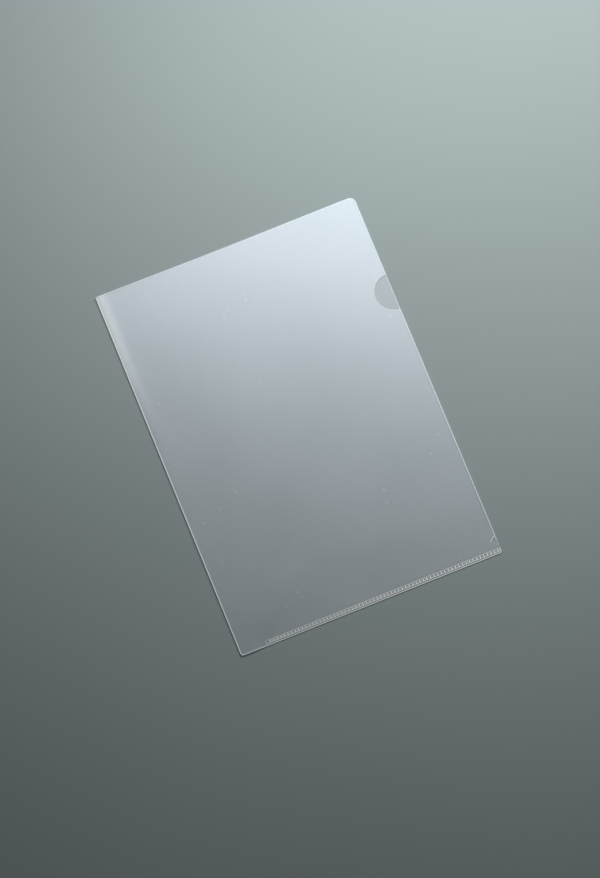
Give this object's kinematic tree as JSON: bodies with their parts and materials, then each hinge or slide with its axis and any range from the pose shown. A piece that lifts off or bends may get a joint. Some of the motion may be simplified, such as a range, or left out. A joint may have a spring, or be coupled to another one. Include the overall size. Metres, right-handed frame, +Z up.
{
  "type": "l-shaped plastic folder",
  "caption": "Clear A4 document holder of one folded film, welded along the bottom and open at the top and right, with a half-round thumb cut in the front sheet.",
  "frame": {"origin": "middle of the back sheet's outer face, on the surface that the folder lies on", "axes": "+X from the fold to the open side, +Y from the weld to the open top, +Z up through the front sheet"},
  "size_m": [0.22, 0.31, 0.001],
  "materials": {
    "clear_film": "gloss",
    "fold_film": "gloss",
    "weld_film": "satin"
  },
  "bodies": {
    "folder": {"back_sheet": "clear_film", "spine_fold": "fold_film", "front_sheet": "clear_film", "front_heel": "clear_film", "front_foot": "clear_film", "front_lip": "clear_film", "weld_seam": "weld_film"},
    "flap": {"front_flap": "clear_film"}
  },
  "joints": [
    {"name": "flap_lift", "type": "hinge", "parent": "folder", "child": "flap", "pos_m": [-0.00035, 0.0055, 0.001], "axis": [0.5771, -0.8167, 0], "range_deg": [0, 60], "stiffness_Nm_per_rad": 0.004}
  ]
}
